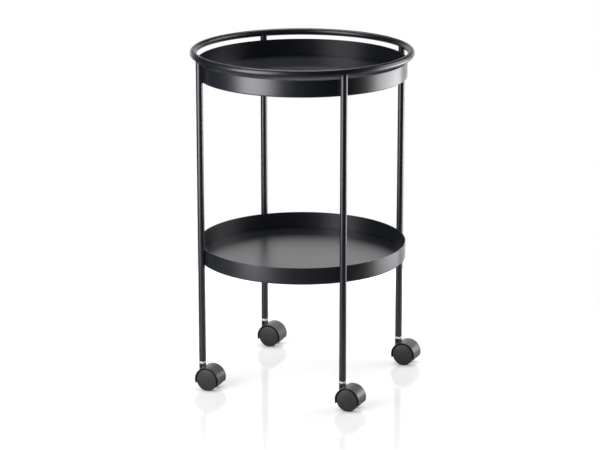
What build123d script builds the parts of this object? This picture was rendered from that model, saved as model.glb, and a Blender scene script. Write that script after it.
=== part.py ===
from build123d import *
from math import sqrt
import os

# Round two-tier serving cart: ring rail, four tube legs, two sheet trays and four twin-wheel casters.
# Millimetres, +Z up. The origin is on the floor under the middle of the trays.
# The casters are stored trailing along +X, so that their axles lie along Y.

# Frame of round tube
rail_diameter = 420.0  # outside of the ring rail
cart_height = 642.0  # floor to the top of the rail
tube_diameter = 13.0  # rail and legs
tube_wall = 1.0
vent_diameter = 4.0  # weld vents from the rail into the legs
saddle_land = 2.0  # the coped leg tops stop this far below the rail's centre line
weld_share = 0.5  # depth of the weld between leg and tray, as a share of the tube's wall
weld_inset = 2.0  # the weld stops this far from the ends of the tray's straight wall

# Trays
tray_depth = 32.0  # outside, floor to rim
tray_sheet = 1.2
tray_bend = 1.5  # inside radius between floor and wall
rim_rounding = 0.4
rail_gap = 6.5  # clear height between the rail and the upper tray's rim
tray_spacing = 350.0  # rim to rim

# Threaded plugs in the leg ends
plug_length = 18.0  # inside the tube
plug_head = 2.0
plug_rounding = 0.8
thread_diameter = 6.0
thread_length = 14.0
thread_play = 0.05

# Caster stems
collar_flats = 12.0
collar_height = 4.0
collar_chamfer = 0.6
pin_diameter = 8.0
pin_chamfer = 0.6
pin_tip = 2.0  # below the clip's groove
pin_recess = 1.5  # pin end above the hood's lower edge
groove_depth = 0.7
clip_width = 1.8
clip_thickness = 1.0
clip_mouth = 5.0
clip_play = 0.1

# Caster hoods
hood_wall = 1.7
hood_rounding = 0.5
hood_overhang = 0.6  # the hood's sides stand this far beyond the edges of the wheel faces
skirt_drop = 7.0  # lower edge of the hood below the axle
neck_rise = 3.5  # top of the neck above the hood's crown
neck_chamfer = 0.5
neck_fillet = 1.5
socket_wall = 1.2
web_thickness = 4.0
axle_boss_wall = 3.0
hood_rib_thickness = 1.6
hood_rib_recess = 0.6  # ribs below the axle boss's end faces
hood_rib_count = 3
hood_rib_first = -5.0  # degrees above the horizontal
hood_rib_sweep = 90.0

# Wheels and axles
wheel_diameter = 42.0
wheel_width = 10.4  # inner face to the edge of the outer face
wheel_crown = 1.6  # swell of the outer face
wheel_flat = 6.0  # diameter of the flat in the middle of the outer face
wheel_rim_wall = 3.0
wheel_face_wall = 2.0
tread_rounding = 1.2
tread_inner_rounding = 0.8
hub_wall = 2.6
wheel_rib_thickness = 1.4
wheel_rib_count = 6
wheel_rib_recess = 1.5  # ribs below the wheel's inner face
axle_diameter = 6.0
axle_chamfer = 0.5
axle_groove_width = 1.6
axle_groove_depth = 0.5
axle_groove_inset = 1.6  # groove from the end of the axle
bead_play = 0.3  # snap bead of the hub in the axle's groove
swivel_trail = 16.0  # axle behind the stem

# Running clearances
bearing_play = 0.06  # radial, wheels on the axle and hood on the stem
swivel_play = 0.2  # axial, between hood, collar and clip
side_play = 0.6  # between the wheels and the hood's neck and bosses
tread_gap = 1.6  # between tread and hood
clip_gap = 0.3  # radial, between clip and hood
axle_end_play = 0.3

# Heights and radii that follow
tube_radius = tube_diameter / 2
tube_bore_radius = tube_radius - tube_wall
rail_radius = rail_diameter / 2 - tube_radius
rail_height = cart_height - tube_radius
tray_radius = rail_radius - tube_radius
upper_tray_bottom = cart_height - tube_diameter - rail_gap - tray_depth
lower_tray_bottom = upper_tray_bottom - tray_spacing
outer_bend = tray_bend + tray_sheet

wheel_radius = wheel_diameter / 2
axle_height = wheel_radius
axle_radius = axle_diameter / 2
well_radius = wheel_radius + tread_gap
hood_radius = well_radius + hood_wall
skirt_height = axle_height - skirt_drop
neck_top = axle_height + hood_radius + neck_rise
collar_bottom = neck_top + swivel_play
leg_end = collar_bottom + collar_height
tube_end = leg_end + plug_head

pin_radius = pin_diameter / 2
pin_end = skirt_height + pin_recess
groove_bottom = pin_end + pin_tip
groove_width = clip_thickness + clip_play
groove_radius = pin_radius - groove_depth
clip_radius = groove_radius + clip_width
pocket_radius = clip_radius + clip_gap
socket_shoulder = groove_bottom + groove_width + swivel_play
neck_radius = pocket_radius + socket_wall

wheel_inner = neck_radius + side_play
wheel_edge = wheel_inner + wheel_width
wheel_outer = wheel_edge + wheel_crown
face_inner = wheel_edge - wheel_face_wall
hood_half_width = wheel_edge + hood_overhang
axle_boss_half = wheel_inner - side_play
axle_boss_radius = axle_radius + axle_boss_wall
axle_half = face_inner - axle_end_play
hub_bore_radius = axle_radius + bearing_play
hub_radius = hub_bore_radius + hub_wall
groove_outer = axle_half - axle_groove_inset
groove_inner = groove_outer - axle_groove_width

axle_middle = (swivel_trail, 0, axle_height)
axle_line = Axis(axle_middle, (0, 1, 0))
axle_plan = Plane(axle_middle)  # seen from above, X out from the axle and Y along it
axle_side = Plane(axle_middle, x_dir=(1, 0, 0), z_dir=(0, -1, 0))  # square to the axle
corner_angles = {"front_left": 225.0, "front_right": 315.0, "rear_right": 45.0, "rear_left": 135.0}


def make_tray(bottom):
    """Spun sheet pan: flat floor, small bend and a plain upright wall."""
    rim = bottom + tray_depth
    wall = tray_radius - tray_sheet
    floor = bottom + tray_sheet
    with BuildPart() as tray:
        with BuildSketch(Plane.XZ) as section:
            with BuildLine():
                Polyline(
                    (0, bottom), (tray_radius, bottom), (tray_radius, rim),
                    (wall, rim), (wall, floor), (0, floor), close=True,
                )
            make_face()
            corners = section.vertices()
            fillet(corners.sort_by_distance((tray_radius, bottom))[0], outer_bend)
            fillet(corners.sort_by_distance((wall, floor))[0], tray_bend)
            fillet(section.vertices().group_by(Axis.Y)[-1], rim_rounding)
        revolve(axis=Axis.Z)
    return tray.part


def export_piece(piece, label):
    piece.label = label
    export_step(piece, f"parts/{label}.step")


# Ring rail, with a vent into each leg
with BuildPart() as rail_ring:
    with BuildSketch(Plane.XZ):
        with Locations((rail_radius, rail_height)):
            Circle(tube_radius)
            Circle(tube_bore_radius, mode=Mode.SUBTRACT)
    revolve(axis=Axis.Z)
    with BuildSketch(Plane.XY.offset(rail_height)):
        with PolarLocations(rail_radius, len(corner_angles), start_angle=corner_angles["rear_right"]):
            Circle(vent_diameter / 2)
    extrude(amount=-tube_diameter, mode=Mode.SUBTRACT)

# Leg on the +X axis: a tube coped to the rail, with the weld seams that hold the trays
weld_throat = tube_wall * weld_share
weld_half_width = sqrt(tube_radius**2 - (tube_radius - weld_throat) ** 2)
weld_root = 1.2 * weld_throat  # the seam is sunk a little into the tube's wall
weld_length = tray_depth - outer_bend - 2 * weld_inset
with BuildPart() as leg:
    with BuildSketch(Plane.XY.offset(tube_end)):
        with Locations((rail_radius, 0)):
            Circle(tube_radius)
            Circle(tube_bore_radius, mode=Mode.SUBTRACT)
    extrude(amount=rail_height - saddle_land - tube_end)
    with BuildSketch(Plane.XZ):
        with Locations((rail_radius, rail_height)):
            Circle(tube_radius)
    revolve(axis=Axis.Z, mode=Mode.SUBTRACT)
    for tray_bottom in (upper_tray_bottom, lower_tray_bottom):
        with BuildSketch(Plane.XY.offset(tray_bottom + outer_bend + weld_inset)):
            with Locations((tray_radius, 0)):
                Rectangle(2 * weld_root, 2 * weld_half_width)
            Circle(tray_radius, mode=Mode.SUBTRACT)
        extrude(amount=weld_length)

# Threaded plug in the leg's end, drawn on the stem's axis
with BuildPart() as leg_plug:
    with BuildSketch(Plane.XY.offset(leg_end)):
        Circle(tube_radius)
    extrude(amount=plug_head)
    fillet(leg_plug.edges().group_by(Axis.Z)[0], plug_rounding)
    with BuildSketch(Plane.XY.offset(tube_end)):
        Circle(tube_bore_radius)
    extrude(amount=plug_length)
    with BuildSketch(Plane.XY.offset(leg_end)):
        Circle(thread_diameter / 2 + thread_play)
    extrude(amount=plug_head + plug_length, mode=Mode.SUBTRACT)

# Stem: hexagonal collar, threaded shank above it and swivel pin below
collar_corner = collar_flats / sqrt(3)
with BuildPart() as stem:
    with BuildSketch(Plane.XY.offset(collar_bottom)):
        RegularPolygon(collar_flats / 2, 6, major_radius=False)
    extrude(amount=collar_height)
    with BuildSketch(Plane.XZ) as turning:
        with Locations((collar_corner / 2, collar_bottom + collar_height / 2)):
            Rectangle(collar_corner, collar_height)
        chamfer(turning.vertices().group_by(Axis.X)[-1], collar_chamfer)
    revolve(axis=Axis.Z, mode=Mode.INTERSECT)
    with BuildSketch(Plane.XY.offset(leg_end)):
        Circle(thread_diameter / 2)
    extrude(amount=thread_length)
    with BuildSketch(Plane.XY.offset(collar_bottom)):
        Circle(pin_radius)
    extrude(amount=pin_end - collar_bottom)
    chamfer(stem.edges().group_by(Axis.Z)[0], pin_chamfer)
    chamfer(stem.edges().group_by(Axis.Z)[-1], pin_chamfer)
    with BuildSketch(Plane.XY.offset(groove_bottom)):
        Circle(pin_diameter)
        Circle(groove_radius, mode=Mode.SUBTRACT)
    extrude(amount=groove_width, mode=Mode.SUBTRACT)

# Open spring clip in the pin's groove
with BuildPart() as stem_clip:
    with BuildSketch(Plane.XY.offset(groove_bottom + clip_play / 2)):
        Circle(clip_radius)
        Circle(groove_radius, mode=Mode.SUBTRACT)
        with Locations((clip_radius, 0)):
            Rectangle(2 * clip_radius, clip_mouth, mode=Mode.SUBTRACT)
    extrude(amount=clip_thickness)

# Moulded hood: shell over both wheels, ribbed middle web, axle boss and stem socket
hood_rib_root = axle_radius + axle_boss_wall / 2  # ribs run from the middle of the boss's wall
hood_rib_length = well_radius + hood_wall / 2 - hood_rib_root
hood_rib_half = axle_boss_half - hood_rib_recess
with BuildPart() as hood:
    with BuildSketch(axle_side):
        Circle(hood_radius)
    extrude(amount=hood_half_width, both=True)
    fillet(hood.edges().filter_by(GeomType.CIRCLE), hood_rounding)
    with BuildSketch(Plane.XY.offset(axle_height)):
        Circle(neck_radius)
    extrude(amount=neck_top - axle_height)
    fillet(hood.edges().filter_by(GeomType.BSPLINE), neck_fillet)
    chamfer(hood.edges().group_by(Axis.Z)[-1], neck_chamfer)
    for side in (-1, 1):
        with BuildSketch(axle_side.offset(side * web_thickness / 2)):
            Circle(well_radius)
        extrude(amount=side * hood_half_width, mode=Mode.SUBTRACT)
    with BuildSketch(axle_side):
        Circle(axle_boss_radius)
    extrude(amount=axle_boss_half, both=True)
    with BuildSketch(axle_side):
        with PolarLocations(
            hood_rib_root + hood_rib_length / 2, hood_rib_count,
            start_angle=hood_rib_first, angular_range=hood_rib_sweep, endpoint=True,
        ):
            Rectangle(hood_rib_length, hood_rib_thickness)
    extrude(amount=hood_rib_half, both=True)
    split(bisect_by=Plane.XY.offset(skirt_height), keep=Keep.TOP)
    with BuildSketch(Plane.XY.offset(skirt_height)):
        Circle(neck_radius)
    extrude(amount=axle_height + well_radius - skirt_height)
    with BuildSketch(axle_side):
        Circle(axle_radius)
    extrude(amount=axle_boss_half, both=True, mode=Mode.SUBTRACT)
    with BuildSketch(Plane.XY.offset(skirt_height)):
        Circle(pocket_radius)
    extrude(amount=socket_shoulder - skirt_height, mode=Mode.SUBTRACT)
    with BuildSketch(Plane.XY.offset(socket_shoulder)):
        Circle(pin_radius + bearing_play)
    extrude(amount=neck_top - socket_shoulder, mode=Mode.SUBTRACT)

# Axle pressed into the hood, grooved near both ends
with BuildPart() as axle:
    with BuildSketch(axle_side):
        Circle(axle_radius)
    extrude(amount=axle_half, both=True)
    chamfer(axle.edges().filter_by(GeomType.CIRCLE), axle_chamfer)
    with BuildSketch(axle_plan):
        for side in (-1, 1):
            with Locations((axle_radius, side * (groove_inner + groove_outer) / 2)):
                Rectangle(2 * axle_groove_depth, axle_groove_width)
    revolve(axis=axle_line, mode=Mode.SUBTRACT)

# Wheel: crowned face, rim, ribbed cup and a blind hub whose bead snaps into the axle's groove
rim_inner_radius = wheel_radius - wheel_rim_wall
hub_bead_radius = axle_radius - axle_groove_depth + bead_play
bead_inner = groove_inner + bead_play
bead_outer = groove_outer - bead_play
wheel_rib_inner = wheel_inner + wheel_rib_recess
wheel_rib_root = hub_bore_radius + hub_wall / 2  # ribs run from the middle of the hub's wall
wheel_rib_length = rim_inner_radius + wheel_rim_wall / 2 - wheel_rib_root
with BuildPart() as far_wheel:
    with BuildSketch(axle_plan) as section:
        with BuildLine():
            TangentArc((wheel_flat / 2, wheel_outer), (wheel_radius, wheel_edge), tangent=(1, 0))
            Polyline(
                (wheel_radius, wheel_edge), (wheel_radius, wheel_inner),
                (rim_inner_radius, wheel_inner), (rim_inner_radius, face_inner),
                (hub_radius, face_inner), (hub_radius, wheel_inner),
                (hub_bore_radius, wheel_inner), (hub_bore_radius, bead_inner),
                (hub_bead_radius, bead_inner), (hub_bead_radius, bead_outer),
                (hub_bore_radius, bead_outer), (hub_bore_radius, face_inner),
                (0, face_inner), (0, wheel_outer), (wheel_flat / 2, wheel_outer),
            )
        make_face()
        tread_corners = section.vertices().group_by(Axis.X)[-1].sort_by(Axis.Y)
        fillet(tread_corners[-1], tread_rounding)
        fillet(tread_corners[0], tread_inner_rounding)
    revolve(axis=axle_line)
    with BuildSketch(axle_side.offset(-wheel_rib_inner)):
        with PolarLocations(wheel_rib_root + wheel_rib_length / 2, wheel_rib_count):
            Rectangle(wheel_rib_length, wheel_rib_thickness)
    extrude(amount=wheel_rib_inner - face_inner)

with BuildPart() as near_wheel:
    mirror(far_wheel.part, about=Plane.XZ)

# One file for each piece
os.makedirs("parts", exist_ok=True)
export_piece(rail_ring.part, "rail_ring")
export_piece(make_tray(upper_tray_bottom), "upper_tray")
export_piece(make_tray(lower_tray_bottom), "lower_tray")
stem_pieces = {
    "leg_plug": leg_plug,
    "caster_stem": stem,
    "stem_clip": stem_clip,
    "caster_hood": hood,
    "caster_axle": axle,
    "near_wheel": near_wheel,
    "far_wheel": far_wheel,
}
for corner, angle in corner_angles.items():
    export_piece(leg.part.rotate(Axis.Z, angle), f"{corner}_leg")
    foot = Vector(rail_radius, 0, 0).rotate(Axis.Z, angle)
    for name, builder in stem_pieces.items():
        export_piece(builder.part.moved(Location(foot)), f"{corner}_{name}")
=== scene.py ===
"""Looks of the round serving cart: finishes, painted weld beads, and a white studio table with its light."""

import math
from collections import namedtuple

import bpy
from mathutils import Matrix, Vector


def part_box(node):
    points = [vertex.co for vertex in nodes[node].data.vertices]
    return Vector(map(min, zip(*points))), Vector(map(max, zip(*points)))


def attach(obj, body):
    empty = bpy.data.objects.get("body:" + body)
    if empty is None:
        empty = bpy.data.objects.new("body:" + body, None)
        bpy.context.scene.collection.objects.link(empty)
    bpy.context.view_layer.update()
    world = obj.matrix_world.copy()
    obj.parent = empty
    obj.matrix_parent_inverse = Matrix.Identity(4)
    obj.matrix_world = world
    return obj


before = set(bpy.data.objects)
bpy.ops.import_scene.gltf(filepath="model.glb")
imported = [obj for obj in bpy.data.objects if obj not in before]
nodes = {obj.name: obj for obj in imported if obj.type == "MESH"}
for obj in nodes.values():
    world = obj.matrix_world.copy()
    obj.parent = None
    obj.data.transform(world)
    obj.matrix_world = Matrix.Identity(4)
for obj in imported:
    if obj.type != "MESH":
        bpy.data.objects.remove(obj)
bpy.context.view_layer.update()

CORNERS = ("front_left", "front_right", "rear_right", "rear_left")
TRAYS = ("upper_tray", "lower_tray")
WHITE = (1.0, 1.0, 1.0)
BLACK = (0.0, 0.0, 0.0)

# Camera, in metres and degrees
VIEW_AZIMUTH = 23.38
VIEW_DISTANCE = 4.232  # on the floor, from the cart's axis
VIEW_HEIGHT = 1.476
VIEW_PITCH = 15.529
VIEW_YAW = 0.055
SENSOR_WIDTH = 36.0  # millimetres
LENS = 138.33

# Caster hoods, grained on the shell and with a polish on their flat sides, which face along the axle; the
# flat sides are also painted near black, as painted shade of the gap round the wheel
HOOD_POLISH_AND_SHADE = (0.90, 0.98)  # share of the normal along the axle, from grained to polished
HOOD_GRAINED = (0.086, 0.084, 0.092)
# Painted shade: near-black colour of the flat sides, darker than the shell's own tone, for the shade of the
# gap round the wheel
HOOD_FLAT_SHADE = (0.001, 0.001, 0.001)
HOOD_ROUGHNESS = (0.34, 0.10)
HOOD_IOR = 1.3
HOOD_GRAIN = 1700.0  # features to a metre
HOOD_DEPTH = 4e-5

# Painted weld beads, in metres
BEAD_RADIUS = 0.0008
BEAD_RIPPLE = 0.07  # share of the radius
BEAD_PITCH = 0.0014  # from ripple to ripple
BEAD_STEPS = 5  # points to a ripple
BEAD_END = 0.5  # share of the radius left at an open end
BEAD_ROUNDNESS = 2
PATH_STEPS = 99  # to measure a bead's path
SADDLE_LAND = 0.002  # the legs' coped tops end this far below the rail's centre line
CREVICE = 0.5  # where the bead lies between leg and tray, as a share of the leg's radius
CREVICE_INSET = 0.002  # the bead stops this far from the ends of the tray's straight wall
TRAY_BEND = 0.0027  # outside, between floor and wall

# Soft boxes, in metres, degrees to the right of the camera's side of the cart, and watts
Box = namedtuple("Box", "azimuth distance height aim width tall power")
BOXES = {
    "left_box": Box(-48.5, 1.25, height=1.015, aim=1.015, width=0.935, tall=1.83, power=23.2),
    "left_core": Box(-51.0, 1.25, height=0.35, aim=0.35, width=0.536, tall=0.70, power=3.1),
    "right_box": Box(105.6, 1.25, height=0.60, aim=0.60, width=1.036, tall=1.80, power=16.5),
    "right_core": Box(103.7, 1.25, height=0.232, aim=0.232, width=1.18, tall=0.337, power=7.2),
    "back_box": Box(184.8, 0.80, height=1.90, aim=0.60, width=0.93, tall=0.68, power=9.2),
}

# Bright card behind the cart and wall all round it, in metres, which only reflections show
GLOW = 1.476
GLOW_BOTTOM = -0.30
CARD_DISTANCE = 1.25
CARD_TOP = 0.915
CARD_WIDTH = 1.99
WALL_DISTANCE = 1.7
WALL_TOP = 1.2

# Dim room, in front of the cart and behind it
ROOM = (0.005, 0.01)
ROOM_TURN = (0.2, 0.9)  # share of the way back between which it changes

# Table top, in metres
RING_SIDES = 96  # of the table, and of the wall
TABLE_RADIUS = 0.75
TABLE_WHITE = (0.50, 0.50, 0.50)
TABLE_IOR = 1.25
TABLE_ROUGHNESS = 0.09
TABLE_GLOW = 0.57  # near the cart, as the camera sees it on top of the light there
TABLE_MIRRORED_GLOW = 0.05
# Painted shade: the glow is darkened within this distance of the wheels
TABLE_CONTACT_SHADE = 0.014  # how far from a wheel its contact dims the glow
TABLE_SHADE = (0.22, 0.72)  # radii between which the shades fade out to plain white
TABLE_FADE = 2.3  # slow at first


def away(azimuth, distance, height=0.0):
    """Point round the cart, azimuth in degrees to the right of the camera's direction."""
    angle = math.radians(VIEW_AZIMUTH + azimuth)
    return Vector((math.sin(angle) * distance, -math.cos(angle) * distance, height))


# Node helpers


def new_material(name):
    """Empty principled material: the material, its node tree and its shader."""
    material = bpy.data.materials.new(name)
    material.use_nodes = True
    return material, material.node_tree, material.node_tree.nodes["Principled BSDF"]


def add_place(tree, name):
    """Texture coordinate of that name."""
    return tree.nodes.new("ShaderNodeTexCoord").outputs[name]


def add_noise(tree, scale):
    """Noise over the piece's own coordinates, with scale in features per metre."""
    noise = tree.nodes.new("ShaderNodeTexNoise")
    noise.inputs["Scale"].default_value = scale
    tree.links.new(add_place(tree, "Object"), noise.inputs["Vector"])
    return noise.outputs["Fac"]


def add_ramp(tree, fac, low, high, over=(0.3, 0.7)):
    """Colour between low and high as fac goes over that range."""
    ramp = tree.nodes.new("ShaderNodeValToRGB")
    for element, position, colour in zip(ramp.color_ramp.elements, over, (low, high)):
        element.position = position
        element.color = (*colour, 1.0)
    tree.links.new(fac, ramp.inputs["Fac"])
    return ramp.outputs["Color"]


def add_range(tree, fac, low, high, over=(0.3, 0.7)):
    """Number between low and high as fac goes over that range."""
    span = tree.nodes.new("ShaderNodeMapRange")
    span.inputs["From Min"].default_value, span.inputs["From Max"].default_value = over
    span.inputs["To Min"].default_value = low
    span.inputs["To Max"].default_value = high
    tree.links.new(fac, span.inputs["Value"])
    return span.outputs["Result"]


def add_math(tree, operation, *values):
    """Math node, with each value a socket or a number."""
    node = tree.nodes.new("ShaderNodeMath")
    node.operation = operation
    for socket, value in zip(node.inputs, values):
        if isinstance(value, bpy.types.NodeSocket):
            tree.links.new(value, socket)
        else:
            socket.default_value = value
    return node.outputs[0]


def add_measure(tree, operation, vector, other=BLACK):
    """Number from a vector, and from a fixed other one where the operation takes two."""
    node = tree.nodes.new("ShaderNodeVectorMath")
    node.operation = operation
    tree.links.new(vector, node.inputs[0])
    node.inputs[1].default_value = other
    return node.outputs["Value"]


def add_bump(tree, shader, fac, depth):
    """Relief of that depth, in metres."""
    bump = tree.nodes.new("ShaderNodeBump")
    bump.inputs["Distance"].default_value = depth
    tree.links.new(fac, bump.inputs["Height"])
    tree.links.new(bump.outputs["Normal"], shader.inputs["Normal"])


# Finishes of the cart


def finish_surface(
    name, low, high, rough, grain, depth, metallic=0.0, cloud=40.0, ior=1.5, gloss=WHITE,
):
    """Finish with a slight drift of colour and gloss and a fine grain in relief."""
    material, tree, shader = new_material(name)
    shader.inputs["Metallic"].default_value = metallic
    shader.inputs["IOR"].default_value = ior
    shader.inputs["Specular Tint"].default_value = (*gloss, 1.0)
    drift = add_noise(tree, cloud)
    tree.links.new(add_ramp(tree, drift, low, high), shader.inputs["Base Color"])
    tree.links.new(add_range(tree, drift, *rough), shader.inputs["Roughness"])
    add_bump(tree, shader, add_noise(tree, grain), depth)
    return material


def powder_coat():
    """Satin black powder coat with its faint orange peel."""
    return finish_surface(
        "powder_coat_satin", low=(0.0070, 0.0091, 0.0126), high=(0.0081, 0.0105, 0.0144),
        rough=(0.325, 0.345), grain=1100.0, depth=1.2e-5, cloud=14.0, ior=1.7,
        gloss=(0.965, 0.945, 1.0),
    )


def hood_plastic():
    """Black moulded nylon: spark grain over the shell, and a polish on their flat sides, which are also
    painted near black as painted shade.
    """
    material, tree, shader = new_material("hood_nylon")
    along_axle = add_measure(tree, "DOT_PRODUCT", add_place(tree, "Normal"), (0.0, 1.0, 0.0))
    flat_polish_and_shade = add_math(tree, "ABSOLUTE", along_axle)
    # Painted shade: the flat sides take the near-black colour and the shell keeps its grey
    colour = add_ramp(tree, flat_polish_and_shade, HOOD_GRAINED, HOOD_FLAT_SHADE, HOOD_POLISH_AND_SHADE)
    tree.links.new(colour, shader.inputs["Base Color"])
    shader.inputs["IOR"].default_value = HOOD_IOR
    roughness = add_range(tree, flat_polish_and_shade, *HOOD_ROUGHNESS, HOOD_POLISH_AND_SHADE)
    tree.links.new(roughness, shader.inputs["Roughness"])
    grained = add_range(tree, flat_polish_and_shade, 1.0, 0.0, HOOD_POLISH_AND_SHADE)
    relief = add_math(tree, "MULTIPLY", add_noise(tree, HOOD_GRAIN), grained)
    add_bump(tree, shader, relief, HOOD_DEPTH)
    return material


def wheel_plastic():
    """Dark grey moulded wheel."""
    return finish_surface(
        "wheel_nylon", low=(0.020, 0.020, 0.0226), high=(0.0252, 0.0252, 0.0284),
        rough=(0.40, 0.46), grain=1500.0, depth=3e-5,
    )


def plug_plastic():
    """Black plug in the leg's end."""
    return finish_surface(
        "plug_nylon", low=(0.006, 0.006, 0.006), high=(0.008, 0.008, 0.008),
        rough=(0.40, 0.46), grain=1500.0, depth=2e-5,
    )


def plated_steel():
    """Bright zinc plating on the stem's collar."""
    return finish_surface(
        "bright_plating", low=(0.80, 0.80, 0.79), high=(0.87, 0.87, 0.86),
        rough=(0.34, 0.40), grain=2500.0, depth=3e-6, metallic=1.0,
    )


def spring_steel():
    """Plain hardened steel of axles and clips."""
    return finish_surface(
        "plain_steel", low=(0.36, 0.36, 0.37), high=(0.46, 0.46, 0.47),
        rough=(0.26, 0.34), grain=2500.0, depth=3e-6, metallic=1.0,
    )


FINISHES = {
    "powder_coat": powder_coat(),
    "hood_plastic": hood_plastic(),
    "wheel_plastic": wheel_plastic(),
    "plug_plastic": plug_plastic(),
    "plated_steel": plated_steel(),
    "spring_steel": spring_steel(),
}
for node in nodes.values():
    for material_slot in node.material_slots:
        material_slot.material = FINISHES[material_slot.material.name]


# Weld beads, under the same coat as the tubes


def add_bead(name, path, closed=False):
    """Rippled bead along a path, which gives the place at a share of its length."""
    places = [path(i / PATH_STEPS) for i in range(PATH_STEPS + 1)]
    length = sum((there - here).length for here, there in zip(places, places[1:]))
    ripples = round(length / BEAD_PITCH)
    steps = ripples * BEAD_STEPS
    data = bpy.data.curves.new(name, "CURVE")
    data.dimensions = "3D"
    data.bevel_depth = BEAD_RADIUS
    data.bevel_resolution = BEAD_ROUNDNESS
    data.use_fill_caps = not closed
    spline = data.splines.new("POLY")  # starts with one point
    spline.points.add(steps - 1 if closed else steps)
    spline.use_cyclic_u = closed
    for i, point in enumerate(spline.points):
        point.co = (*path(i / steps), 1.0)
        point.radius = 1 + BEAD_RIPPLE * math.cos(2 * math.pi * i / BEAD_STEPS)
    if not closed:
        spline.points[0].radius = spline.points[-1].radius = BEAD_END
    bead = bpy.data.objects.new(name, data)
    bpy.context.scene.collection.objects.link(bead)
    data.materials.append(FINISHES["powder_coat"])
    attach(bead, "frame")


def weld_leg(corner):
    """Beads round the coped top of a leg, and in the crevices between the leg and the trays' walls."""
    rail_low, rail_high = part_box("rail_ring")
    tube = (rail_high.z - rail_low.z) / 2
    rail_height = rail_high.z - tube
    rail_radius = rail_high.x - tube
    leg_low, leg_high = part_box(f"{corner}_leg")
    axis = ((leg_low + leg_high) / 2).xy.to_3d()
    outward = axis.normalized()
    along = Vector((-outward.y, outward.x, 0.0))

    def saddle(share):
        turn = 2 * math.pi * share
        place = axis + tube * (outward * math.cos(turn) + along * math.sin(turn))
        side = max(tube**2 - (place.length - rail_radius) ** 2, 0.0)
        place.z = rail_height - math.sqrt(side * (1 - (SADDLE_LAND / tube) ** 2) + SADDLE_LAND**2)
        return place

    add_bead(f"{corner}_rail_weld", saddle, closed=True)
    inward = tube * math.sqrt(1 - CREVICE**2)
    for tray in TRAYS:
        tray_low, tray_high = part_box(tray)
        bottom = tray_low.z + TRAY_BEND + CREVICE_INSET
        top = tray_high.z - CREVICE_INSET
        for side, name in ((-1, "left"), (1, "right")):
            foot = axis - outward * (inward + (tube - inward) / 2) + along * side * tube * CREVICE
            add_bead(
                f"{corner}_{tray}_{name}_weld",
                lambda share: foot + Vector((0.0, 0.0, bottom + share * (top - bottom))),
            )


for corner in CORNERS:
    weld_leg(corner)


# Studio: round white table, card and wall for the reflections, dim room and soft boxes


def seen_rays(tree):
    """One for the camera's own rays, and one for those of reflections and of things seen through others."""
    path = tree.nodes.new("ShaderNodeLightPath").outputs
    mirrored = add_math(tree, "MAXIMUM", path["Is Glossy Ray"], path["Is Transmission Ray"])
    return path["Is Camera Ray"], mirrored


def white_acrylic():
    """Glossy white table top, with the cart's shadows and reflections faint near it and none further out,
    and painted shade where the wheels touch it.
    """
    material, tree, shader = new_material("white_acrylic")
    camera, mirrored = seen_rays(tree)
    shader.inputs["Base Color"].default_value = (*TABLE_WHITE, 1.0)
    shader.inputs["Roughness"].default_value = TABLE_ROUGHNESS
    shader.inputs["IOR"].default_value = TABLE_IOR
    shader.inputs["Emission Color"].default_value = (*WHITE, 1.0)
    radius = add_measure(tree, "LENGTH", add_place(tree, "Object"))
    outward = add_range(tree, radius, 0.0, 1.0, TABLE_SHADE)
    fade = add_math(tree, "POWER", outward, TABLE_FADE)
    glow = add_range(tree, fade, TABLE_GLOW, 1.0, (0.0, 1.0))
    # Painted shade: ambient occlusion darkens the glow where the wheels touch the table
    contact_shade = tree.nodes.new("ShaderNodeAmbientOcclusion")
    contact_shade.inputs["Distance"].default_value = TABLE_CONTACT_SHADE
    shaded_glow = add_math(tree, "MULTIPLY", glow, contact_shade.outputs["AO"])
    seen = add_math(tree, "MULTIPLY", camera, shaded_glow)
    strength = add_math(tree, "MULTIPLY_ADD", mirrored, TABLE_MIRRORED_GLOW, seen)
    tree.links.new(strength, shader.inputs["Emission Strength"])
    return material


def bright_card():
    """Plain bright surface."""
    material, _, shader = new_material("bright_card")
    shader.inputs["Base Color"].default_value = (*BLACK, 1.0)
    shader.inputs["Emission Color"].default_value = (*WHITE, 1.0)
    shader.inputs["Emission Strength"].default_value = GLOW
    return material


def add_stage(name, points, faces, material):
    """Faces that aren't part of the cart."""
    mesh = bpy.data.meshes.new(name)
    mesh.from_pydata(points, [], faces)
    mesh.materials.append(material)
    stage = bpy.data.objects.new(name, mesh)
    bpy.context.scene.collection.objects.link(stage)
    return stage


def ring(radius, height):
    """Points round the cart's axis."""
    turns = [2 * math.pi * i / RING_SIDES for i in range(RING_SIDES)]
    return [(radius * math.cos(turn), radius * math.sin(turn), height) for turn in turns]


def show_in_mirrors(stage):
    """Hide a bright piece of the stage from all but reflections."""
    stage.visible_camera = False
    stage.visible_diffuse = False
    stage.visible_shadow = False


def share_light(emitter, piece, state):
    """Let an emitter light only that piece, with INCLUDE, or everything but that piece, with EXCLUDE."""
    receivers = bpy.data.collections.new(f"{emitter.name}_receivers")
    receivers.objects.link(piece)
    receivers.collection_objects[0].light_linking.link_state = state
    emitter.light_linking.receiver_collection = receivers


def make_table():
    return add_stage("table", ring(TABLE_RADIUS, 0.0), [range(RING_SIDES)], white_acrylic())


def make_card(bright):
    """Card behind the cart, as the bright background of its reflections."""
    half = CARD_WIDTH / 2
    sides = ((-half, CARD_TOP), (-half, GLOW_BOTTOM), (half, GLOW_BOTTOM), (half, CARD_TOP))
    points = [away(180, CARD_DISTANCE, height) + away(90, side) for side, height in sides]
    show_in_mirrors(add_stage("card", points, [range(len(points))], bright))


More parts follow.
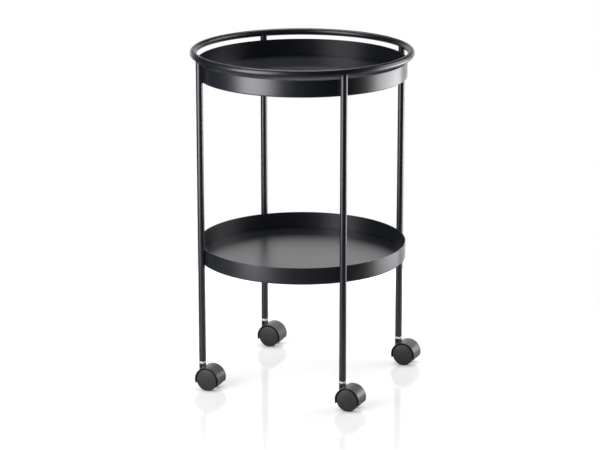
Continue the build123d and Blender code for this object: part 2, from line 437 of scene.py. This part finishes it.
def make_wall(bright, table):
    """Wall that only the table mirrors, so that the table looks alike from all sides."""
    points = ring(WALL_DISTANCE, GLOW_BOTTOM) + ring(WALL_DISTANCE, WALL_TOP)
    turns = [(i, (i + 1) % RING_SIDES) for i in range(RING_SIDES)]
    faces = [(here, there, there + RING_SIDES, here + RING_SIDES) for here, there in turns]
    wall = add_stage("wall", points, faces, bright)
    show_in_mirrors(wall)
    share_light(wall, table, "INCLUDE")


def make_world():
    """Dim room, lighter behind the cart, and plain white to the camera."""
    world = bpy.data.worlds.new("studio")
    bpy.context.scene.world = world
    world.use_nodes = True
    tree = world.node_tree
    background = tree.nodes["Background"]
    behind = add_measure(tree, "DOT_PRODUCT", add_place(tree, "Generated"), away(180, 1.0))
    room = add_range(tree, behind, *ROOM, ROOM_TURN)
    camera, _ = seen_rays(tree)
    tree.links.new(add_math(tree, "MAXIMUM", camera, room), background.inputs["Strength"])
    background.inputs["Color"].default_value = (*WHITE, 1.0)


def add_box(name, box):
    """Soft box aimed at the cart's axis, which the camera doesn't see."""
    data = bpy.data.lights.new(name, "AREA")
    data.shape = "RECTANGLE"
    data.size, data.size_y = box.width, box.tall
    data.energy = box.power
    lamp = bpy.data.objects.new(name, data)
    bpy.context.scene.collection.objects.link(lamp)
    lamp.location = away(box.azimuth, box.distance, box.height)
    aim = Vector((0.0, 0.0, box.aim)) - lamp.location
    lamp.rotation_euler = aim.to_track_quat("-Z", "Y").to_euler()
    lamp.visible_camera = False
    return lamp


def make_light(table):
    """Soft boxes that the cart mirrors, and the same for the table, which doesn't mirror them."""
    for name, box in BOXES.items():
        share_light(add_box(name, box), table, "EXCLUDE")
        on_table = add_box(f"{name}_on_table", box)
        on_table.visible_glossy = False
        share_light(on_table, table, "INCLUDE")


def make_camera():
    data = bpy.data.cameras.new("camera")
    data.sensor_width = SENSOR_WIDTH
    data.lens = LENS
    camera = bpy.data.objects.new("camera", data)
    bpy.context.scene.collection.objects.link(camera)
    camera.location = away(0, VIEW_DISTANCE, VIEW_HEIGHT)
    tilt, turn = math.radians(90 - VIEW_PITCH), math.radians(VIEW_AZIMUTH + VIEW_YAW)
    camera.rotation_euler = (tilt, 0.0, turn)
    bpy.context.scene.camera = camera


table = make_table()
bright = bright_card()
make_card(bright)
make_wall(bright, table)
make_world()
make_light(table)
make_camera()
bpy.context.scene.view_settings.view_transform = "Standard"
